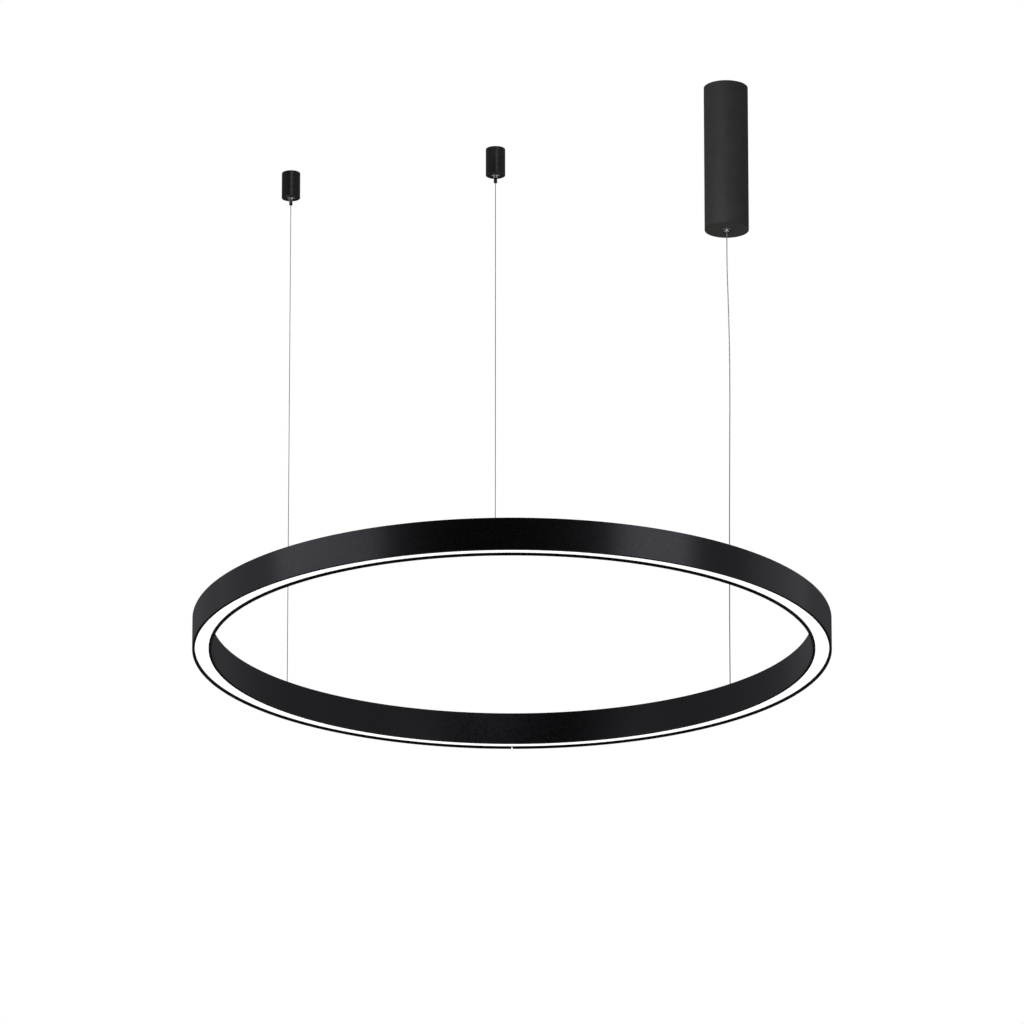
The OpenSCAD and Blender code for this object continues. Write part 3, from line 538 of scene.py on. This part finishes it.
# The roundings of the ring's profile.
EDGE_R, LIP_R, SMALL_R = 0.5, 0.25, 0.15


def housing_section():
    """The extruded profile: side walls, web, ribs for the cover, and lips and ledges for the diffuser."""
    inner = HALF_W - WALL
    side = [
        (HALF_W - LIP_W, 0, LIP_R), (HALF_W, 0, EDGE_R), (HALF_W, PROFILE_H, EDGE_R),
        (inner, PROFILE_H, SMALL_R), (inner, RIB_TOP, 0), (inner - RIB_W, RIB_TOP, SMALL_R),
        (inner - RIB_W, RIB_BOTTOM, SMALL_R), (inner, RIB_BOTTOM, 0), (inner, WEB_TOP, SMALL_R),
    ]
    under = [
        (inner, WEB_BOTTOM, SMALL_R), (inner, GROOVE_TOP + LEDGE_T, 0),
        (HALF_W - LIP_W, GROOVE_TOP + LEDGE_T, SMALL_R), (HALF_W - LIP_W, GROOVE_TOP, SMALL_R),
        (inner, GROOVE_TOP, 0), (inner, LIP_T, 0), (HALF_W - LIP_W, LIP_T, LIP_R),
    ]
    corners = side + [(-x, z, r) for x, z, r in reversed(side)]
    corners += [(-x, z, r) for x, z, r in reversed(under)] + under
    return corners


def half_ring(side, corners, sides=180):
    """Half of the ring, side 0 on the right and side 1 on the left."""
    section = [(HANG_R + x, z) for x, z in eased(corners)]
    return turned(section, RING, sides, side * 180 - 90, 180)


def bar(half, low, high, radius):
    """Corners of a flat strip's section."""
    return [(half, low, radius), (half, high, radius), (-half, high, radius), (-half, low, radius)]


def notch():
    """The drain notch in the outer lip at the far seam."""
    y = RING[1] + HANG_R + HALF_W
    tip = LIP_T * 1.2
    rim = [(-NOTCH_W / 2, 0), (0, tip), (NOTCH_W / 2, 0), (NOTCH_W / 2, -1), (-NOTCH_W / 2, -1)]
    count = len(rim)
    points = [
        ((RING[0] + x) * MM, (y + depth) * MM, (RING[2] + z) * MM)
        for depth in (-LIP_W - 1, 1) for x, z in rim
    ]
    faces = [(k, (k + 1) % count, count + (k + 1) % count, count + k) for k in range(count)]
    return points, faces + [tuple(range(count)), tuple(range(count, 2 * count))]


def web_hole(angle, out, radius):
    """The peg that makes a hole through the web, at a distance out from the profile's centre line."""
    x, y = polar(angle, HANG_R + out)
    return peg((RING[0] + x, RING[1] + y, RING[2]), radius, WEB_BOTTOM - 1, WEB_TOP + 1)


screw_r = (BOARD_W + INSIDE_W) / 4
screw_reach = math.degrees(math.asin((SPLICE_L / 2 - SPLICE_EDGE) / HANG_R))
web_holes = [
    web_hole(seam + turn, out, SPLICE_HOLE_R)
    for seam in (-90, 90) for turn in (-screw_reach, screw_reach) for out in (-screw_r, screw_r)
]
web_holes += [web_hole(angle, -screw_r, GROMMET_HOLE_R) for angle in GROMMET_ANGLES]
stud_holes = [
    peg(hanger(a), (STUD_D + SLIDE_GAP) / 2, RIB_TOP - 1, PROFILE_H + 1)
    for a in (FRONT_ANGLE, LEFT_ANGLE, CABLE_ANGLE)
]
strip_half = (INSIDE_W - SLIDE_GAP) / 2
lip_edge = HALF_W - LIP_W + LIP_R * 1.2
for side, word in enumerate(("right", "left")):
    housing = new_mesh("profile_" + word, *half_ring(side, housing_section()))
    cut(housing, notch(), *web_holes)
    # The faces of the lips and ledges, which get the copy of the coat with painted shade.
    lip_shade_faces = []
    for face in housing.data.polygons:
        x, y, z = (face.center[i] / MM - RING[i] for i in range(3))
        lip_shade_faces.append(z < GROOVE_TOP and abs(math.hypot(x, y) - HANG_R) < lip_edge)
    cover = new_mesh("cover_strip_" + word, *half_ring(side, bar(strip_half, RIB_TOP, PROFILE_H, LIP_R)))
    cut(cover, *stud_holes)
    lens_section = bar(strip_half, LIP_T, LIP_T + DIFFUSER_T, LIP_R)
    lens = new_mesh("opal_strip_" + word, *half_ring(side, lens_section))
    for piece, node, slot in (
        (housing, "ring_housing_", "black_coat"), (cover, "top_cover_", "black_coat"),
        (lens, "diffuser_", "opal_diffuser"),
    ):
        dress(piece, slot)
        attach(piece, "ring")
        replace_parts(piece, node + word)
    # The painted shade: the lips and ledges take the darker, unreflecting copy of the coat.
    housing.data.materials.append(finishes["lip_shade_coat"])
    for face, inside in zip(housing.data.polygons, lip_shade_faces):
        face.material_index = int(inside)

stud_parts = []
for angle, bore in ((FRONT_ANGLE, WIRE_D), (LEFT_ANGLE, WIRE_D), (CABLE_ANGLE, CABLE_D)):
    bore_r = bore / 2 + SLIDE_GAP
    pocket_r = FERRULE_D / 2 + RUN_GAP
    stud = eased([
        (pocket_r, STUD_BOTTOM, 0), (STUD_D / 2, STUD_BOTTOM, 0.4), (STUD_D / 2, PROFILE_H, 0),
        (STUD_HEAD_D / 2, PROFILE_H, 0.2), (STUD_HEAD_D / 2, PROFILE_H + STUD_HEAD_H * 0.6, 0.6),
        (STUD_HEAD_D * 0.3, STUD_TOP, 0.5), (bore_r, STUD_TOP, 0.15), (bore_r, STUD_BOTTOM + NUT_T, 0),
        (pocket_r, STUD_BOTTOM + NUT_T, 0),
    ])
    stud_parts.append(turned(stud, hanger(angle), 48))
studs = new_mesh("stud_set", *joined(*stud_parts))
dress(studs, "black_coat")
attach(studs, "ring")
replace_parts(studs, "hanger_studs")

# The canopy's cover, with bosses for the two set screws that clamp it to the ceiling plate's skirt.
CANOPY = (0.0, 0.0, 0.0)
tube_r = CANOPY_D / 2 - TUBE_WALL
skirt_r = tube_r - SKIRT_INSET
tube = new_mesh("canopy_shell", *turned(eased([
    (tube_r, -CANOPY_H, 0.2), (CANOPY_D / 2, -CANOPY_H, 0.7), (CANOPY_D / 2, -CEILING_GAP, 0.7),
    (tube_r, -CEILING_GAP, 0.2),
]), CANOPY, 160))
boss_in = skirt_r + SLIDE_GAP
set_place = (0.0, 0.0, SET_SCREW_Z)
bosses = [
    lying(peg(set_place, SET_BOSS_R, boss_in, tube_r + 1.0, 40), set_place, a) for a in (0, 180)
]
set_holes = [
    lying(peg(set_place, SET_HOLE_R, boss_in - 1, CANOPY_D / 2 + 1), set_place, a) for a in (0, 180)
]
cut(tube, *bosses, mode="UNION")
cut(tube, *set_holes)
bush_bore = BARREL_D / 2 + SLIDE_GAP
bush_r = bush_bore + BUSH_WALL
rim_r = bush_r + BUSH_RIM
end_cap = new_mesh("canopy_floor", *turned(eased([
    (bush_r, -CANOPY_H, 0), (tube_r - RUN_GAP / 2, -CANOPY_H, 0.3),
    (tube_r - RUN_GAP / 2, -CANOPY_H + CAP_T, 0.3), (bush_r, -CANOPY_H + CAP_T, 0),
]), CANOPY, 160))
bush = new_mesh("bush", *turned(eased([
    (bush_bore, -CANOPY_H - BUSH_LIP, 0.15), (rim_r, -CANOPY_H - BUSH_LIP, 0.25), (rim_r, -CANOPY_H, 0),
    (bush_r - RUN_GAP / 2, -CANOPY_H, 0), (bush_r - RUN_GAP / 2, -CANOPY_H + CAP_T, 0),
    (rim_r, -CANOPY_H + CAP_T, 0), (rim_r, -CANOPY_H + CAP_T + BUSH_COLLAR, 0.3),
    (bush_bore, -CANOPY_H + CAP_T + BUSH_COLLAR, 0.15),
]), CANOPY, 64))
for piece, node, slot in (
    (tube, "canopy_tube", "charcoal_coat"), (end_cap, "canopy_end_cap", "charcoal_coat"),
    (bush, "canopy_bush", "nickel"),
):
    dress(piece, slot)
    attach(piece, "canopy_cover")
    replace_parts(piece, node)

# The grippers and the ceiling cups.
stem_bore = STEM_D / 2 + RUN_GAP
bore = BARREL_D / 2 - BARREL_WALL


def ball_height(wire):
    """How far above the barrel's lower end the balls sit when they hold a wire of this diameter."""
    spare = wire + 2 * BALL_D + 4 * RUN_GAP - 2 * stem_bore
    return GUIDE_L + CONE_L * spare / (2 * bore - 2 * stem_bore)


def gripper_body(name, place, length, seat, low_r, head_t):
    """The barrel with its tapered bore, and its flange of thickness head_t under the seat."""
    return new_mesh(name, *turned(eased([
        (stem_bore, 0, 0.2), (low_r, 0, 0.4), (low_r, seat - head_t, 0), (FLANGE_D / 2, seat - head_t, 0.35),
        (FLANGE_D / 2, seat, 0.2), (BARREL_D / 2, seat, 0), (BARREL_D / 2, length, 0.5), (bore, length, 0.1),
        (bore, GUIDE_L + CONE_L, 0), (stem_bore, GUIDE_L, 0),
    ]), place, 64))


def button_outline(bore_r, top):
    """A plunger's section with a button below, which is a short cylinder rounded by a ball."""
    half, middle = BUTTON_L / 2, -TRAVEL - SLIDE_GAP - BUTTON_L / 2
    ball_r = BUTTON_L * 0.64
    sides_z = math.sqrt(ball_r ** 2 - (BUTTON_D / 2) ** 2)
    end_r = math.sqrt(ball_r ** 2 - half ** 2)
    end_angle, side_angle = math.atan2(half, end_r), math.atan2(sides_z, BUTTON_D / 2)
    steps = 5
    dome = []
    for k in range(steps + 1):
        t = end_angle * (1 - k / steps) + side_angle * k / steps
        dome.append((ball_r * math.cos(t), middle + ball_r * math.sin(t)))
    low = [(r, 2 * middle - z) for r, z in dome]
    outline = [(bore_r, middle - half)] + low + dome[::-1]
    outline += [
        (STEM_D / 2, middle + half), (STEM_D / 2, top - 0.3), (STEM_D / 2 - 0.3, top), (bore_r, top),
    ]
    return [p for i, p in enumerate(outline) if i == 0 or p != outline[i - 1]]


def nose_outline(bore_r, top):
    """A plunger's section with a tapered nose below, as in the canopy."""
    nose_r = STEM_D / 2 - 0.75
    return eased([
        (bore_r, -STEM_UNDER_BARREL, 0.1), (nose_r, -STEM_UNDER_BARREL, 0.3), (STEM_D / 2, -0.2, 0.3),
        (STEM_D / 2, top, 0.3), (bore_r, top, 0.1),
    ])


def plunger(name, place, wire, outline):
    """The release plunger, with the three holes that carry the balls.

    It is turned by two degrees, and the three pegs start apart, so that the cut is a clean one."""
    section = outline(wire / 2 + SLIDE_GAP, ball_height(wire) + STEM_OVER_BALLS)
    piece = new_mesh(name, *turned(section, place, 48, 2.0))
    centre = (place[0], place[1], place[2] + ball_height(wire))
    hole = peg(centre, BALL_D / 2 + RUN_GAP, 0.75, STEM_D, 24)
    return cut(piece, *(lying(hole, centre, angle) for angle in (0, 120, 240)))


def spring(name, place, length, wire, body):
    """The coil spring above the balls, which its plunger presses against the cap as it rises."""
    low = ball_height(wire) + STEM_OVER_BALLS + SPRING_WIRE / 2 + SPRING_GAP
    high = length - GRIPPER_CAP_T - SPRING_WIRE / 2 - SPRING_GAP
    sides, corners = 24, 10
    rings = SPRING_TURNS * sides
    points = []
    for i in range(rings + 1):
        x, y = polar(360 * i / sides, 1.0)
        for k in range(corners):
            across, up = polar(360 * k / corners, SPRING_WIRE / 2)
            r = (STEM_D - SPRING_WIRE) / 2 + across
            z = low + (high - low) * i / rings + up
            points.append(((place[0] + x * r) * MM, (place[1] + y * r) * MM, (place[2] + z) * MM))
    faces = [
        (i * corners + k, i * corners + (k + 1) % corners,
         (i + 1) * corners + (k + 1) % corners, (i + 1) * corners + k)
        for i in range(rings) for k in range(corners)
    ]
    faces += [tuple(range(corners)), tuple(range(rings * corners, (rings + 1) * corners))]
    piece = dress(new_mesh(name, points, faces, sharp=60.0), "spring_steel")
    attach(piece, body)
    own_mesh(piece)
    return piece


CANOPY_END = (0.0, 0.0, -CANOPY_H)
barrel = gripper_body(
    "canopy_barrel", CANOPY_END, CANOPY_BARREL_L, CANOPY_SEAT, BARREL_D / 2, CANOPY_HEAD_T
)
stem = plunger("canopy_stem", CANOPY_END, CABLE_D, nose_outline)
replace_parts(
    spring("canopy_spring", CANOPY_END, CANOPY_BARREL_L, CABLE_D, "canopy_frame"),
    "canopy_gripper_spring",
)
for piece, node, body in (
    (barrel, "canopy_gripper_body", "canopy_frame"), (stem, "canopy_plunger", "canopy_plunger"),
):
    dress(piece, "nickel")
    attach(piece, body)
    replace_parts(piece, node)


def threaded(radius, low, high, place, bore_r):
    """A short cylinder with an outer thread and a countersunk bore, as points and faces."""
    sides, rows_per_turn = 72, 8
    rows = round((high - low) / THREAD_PITCH * rows_per_turn)
    section = [(bore_r, high), (radius - THREAD_DEPTH, high)]
    wall = [high - (high - low) * k / rows for k in range(rows + 1)]
    section += [(radius, z) for z in wall]
    section += [(radius - THREAD_DEPTH, low), (bore_r * 2, low), (bore_r, low + bore_r)]
    points, faces = turned(section, place, sides)
    count = len(section)
    cut_in = []
    for i, (x, y, z) in enumerate(points):
        k = i % count - 2
        if 0 <= k <= rows:
            turn_share = i // count / sides
            phase = (z / MM - place[2]) / THREAD_PITCH - turn_share
            ridge = abs(phase - math.floor(phase) - 0.5) * 2
            fade = min(1.0, k / 4, (rows - k) / 4)
            r = radius - THREAD_DEPTH * (1 - ridge * fade)
            cx, cy = polar(360 * turn_share, r)
            x, y = (place[0] + cx) * MM, (place[1] + cy) * MM
        cut_in.append((x, y, z))
    return cut_in, faces


inner = CUP_D / 2 - CUP_WALL
base_r = CUP_D / 2 - CUP_WALL - RUN_GAP
hole_r = BARREL_D / 2 + RUN_GAP
for side, place in (("front", FRONT), ("left", LEFT)):
    cup = new_mesh(side + "_shell", *turned(eased([
        (hole_r, -CUP_H, 0.2), (CUP_D / 2, -CUP_H, 1.0), (CUP_D / 2, -CEILING_GAP, 0.8),
        (inner, -CEILING_GAP, 0.2), (inner, -CUP_H + CUP_FLOOR, 0.5), (hole_r, -CUP_H + CUP_FLOOR, 0.2),
    ]), place, 128))
    end = (place[0], place[1], place[2] - CUP_H - NECK_L)
    collar = gripper_body(side + "_collar", end, BARREL_L, NECK_L, BARREL_D * 0.36, FLANGE_T)
    button = plunger(side + "_button", end, WIRE_D, button_outline)
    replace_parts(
        spring(side + "_spring", end, BARREL_L, WIRE_D, side + "_cup"),
        side + "_gripper_spring",
    )
    base_parts = threaded(base_r, -BASE_H, 0.0, place, BASE_HOLE_D / 2)
    base = new_mesh(side + "_boss", *base_parts, sharp=28.0)
    for piece, node, slot, body in (
        (cup, "_cup", "black_coat", "_cup"), (collar, "_gripper_body", "nickel", "_cup"),
        (button, "_plunger", "button_black", "_plunger"), (base, "_base", "zinc_steel", "_base"),
    ):
        dress(piece, slot, "cup_coat" if node == "_cup" else None)
        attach(piece, side + body)
        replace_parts(piece, side + node)

# The nodes that keep their own mesh, three of them with softer edges, given in millimetres.
slots = {part["node"]: part["material_slot"] for part in frame["record"]["subparts"]}
soft_edges = {"led_driver": 0.8, "terminal_block": 0.5, "canopy_bracket": 0.25}
WELD_WITHIN = 0.00001
for name, node in nodes.items():
    if not node.hide_render:
        finish = "mains_sheath" if name == "mains_leads" else slots[name]
        node.data.materials.clear()
        node.data.materials.append(finishes[finish])
        if name in soft_edges:
            node.modifiers.new("weld", "WELD").merge_threshold = WELD_WITHIN
            bevel = node.modifiers.new("bevel", "BEVEL")
            bevel.width = soft_edges[name] * MM
            bevel.segments = 2
            bevel.angle_limit = math.radians(50)

# A pale floor far below the light, in metres.
FLOOR_Z, FLOOR_R, FLOOR_SIDES = -20.0, 27.0, 96
floor_rim = [(*polar(360 * k / FLOOR_SIDES, FLOOR_R), FLOOR_Z) for k in range(FLOOR_SIDES)]
floor = new_mesh("floor", floor_rim, [tuple(range(FLOOR_SIDES))])
pale = Finish("pale_floor", Roughness=0.9)
pale.colour(pale.noise(0.6, 3), (0.80, 0.80, 0.79), (0.83, 0.83, 0.82))
floor.data.materials.append(pale.material)

COOL = (0.88, 0.85, 1.0)


def softbox(name, place, aim, width, height, watts, beam=180.0):
    """A soft area light that reflections see and the camera doesn't. beam is its spread in degrees.

    place and aim are in metres from the middle of the ring, halfway up its profile."""
    place, aim = (metres(RING, PROFILE_H / 2) + Vector(p) for p in (place, aim))
    light = bpy.data.lights.new(name, "AREA")
    light.shape = "RECTANGLE"
    light.size, light.size_y, light.energy = width, height, watts
    light.color = COOL
    light.spread = math.radians(beam)
    lamp = bpy.data.objects.new(name, light)
    lamp.location = place
    lamp.rotation_euler = (aim - place).to_track_quat("-Z", "Y").to_euler()
    lamp.visible_camera = False
    scene.collection.objects.link(lamp)


# The boxes by the ring stand close and low, so that only its near outer face mirrors them. The strips, the
# key and the spot have narrow beams, so that each lights one fitting alone.
softbox("left_softbox", (-0.77, -0.60, 0.19), (-0.27, -0.42, 0), 0.62, 0.20, 0.38)
softbox("right_softbox", (0.66, -0.79, 0.19), (0.23, -0.44, 0), 0.40, 0.20, 0.35)
softbox("left_side_box", (-0.86, -0.10, 0.16), (-0.42, -0.27, 0), 0.42, 0.20, 0.030)
softbox("right_side_box", (0.86, -0.10, 0.16), (0.42, -0.27, 0), 0.42, 0.20, 0.060)
softbox("front_cup_strip", (0.20, -1.30, 1.20), (-0.03, -0.49, 0.63), 0.14, 0.40, 0.70, 90.0)
softbox("left_cup_strip", (-0.19, -1.30, 1.50), (-0.36, 0.33, 0.90), 0.22, 0.44, 0.55, 70.0)
softbox("canopy_key", (-0.45, -0.96, 0.95), (0.348, 0.337, 0.93), 0.30, 0.30, 0.45, 40.0)
softbox("stem_spot", (-0.159, -0.751, 0.699), (0.348, 0.337, 0.803), 0.12, 0.12, 0.0095, 12.0)

sun_data = bpy.data.lights.new("sun", "SUN")
sun_data.energy, sun_data.angle = 2.3, math.radians(30)
scene.collection.objects.link(bpy.data.objects.new("sun", sun_data))

world = bpy.data.worlds.new("studio")
world.use_nodes = True
scene.world = world
tree = world.node_tree
tree.nodes.clear()


def world_node(kind, **values):
    """A new node in the world, with its inputs."""
    made = tree.nodes.new("ShaderNode" + kind)
    for key, value in values.items():
        made.inputs[key].default_value = value
    return made


def world_range(value, low, high):
    """0 to 1 as a value goes from low to high."""
    span = world_node("MapRange", **{"From Min": low, "From Max": high})
    tree.links.new(value, span.inputs["Value"])
    return span.outputs["Result"]


def world_product(a, b):
    """Two values multiplied."""
    made = world_node("Math")
    made.operation = "MULTIPLY"
    tree.links.new(a, made.inputs[0])
    tree.links.new(b, made.inputs[1])
    return made.outputs[0]


# The room is dim on the camera's side, and straight behind the object and low down there. What the camera
# sees behind the object is plain white.
AWAY = (0.1, 0.995, 0)
direction = world_node("TexCoord")
split = world_node("SeparateXYZ")
facing = world_node("VectorMath")
facing.operation = "DOT_PRODUCT"
facing.inputs[1].default_value = AWAY
ramp = world_node("ValToRGB")
toned = world_node("Background")
white = world_node("Background", Color=(1, 1, 1, 1))
seen = world_node("LightPath")
mix = world_node("MixShader")
out = world_node("OutputWorld")
# The room's brightness, from the camera's side at 0 to straight away from it at 1.
stops = [
    (0.0, 0.0), (0.05, 0.01), (0.08, 0.05), (0.10, 0.11), (0.125, 0.22), (0.16, 0.26), (0.5, 0.27),
    (0.7, 0.22), (0.85, 0.20), (0.93, 0.14), (1.0, 0.02),
]
elements = ramp.color_ramp.elements
while len(elements) < len(stops):
    elements.new(0.5)
for element, (position, value) in zip(elements, stops):
    element.position = position
    element.color = (value, value * 0.98, value * 1.08, 1)
tree.links.new(direction.outputs["Generated"], split.inputs[0])
tree.links.new(direction.outputs["Generated"], facing.inputs[0])
tree.links.new(world_range(facing.outputs["Value"], -1.0, 1.0), ramp.inputs["Fac"])
low = world_range(split.outputs["Z"], 0.03, -0.06)
behind = world_range(split.outputs["Y"], 0.2, 0.6)
tree.links.new(ramp.outputs["Color"], toned.inputs["Color"])
tree.links.new(world_range(world_product(low, behind), 1.1, 0.0), toned.inputs["Strength"])
tree.links.new(seen.outputs["Is Camera Ray"], mix.inputs[0])
tree.links.new(toned.outputs[0], mix.inputs[1])
tree.links.new(white.outputs[0], mix.inputs[2])
tree.links.new(mix.outputs[0], out.inputs["Surface"])

scene.view_settings.view_transform = "Standard"
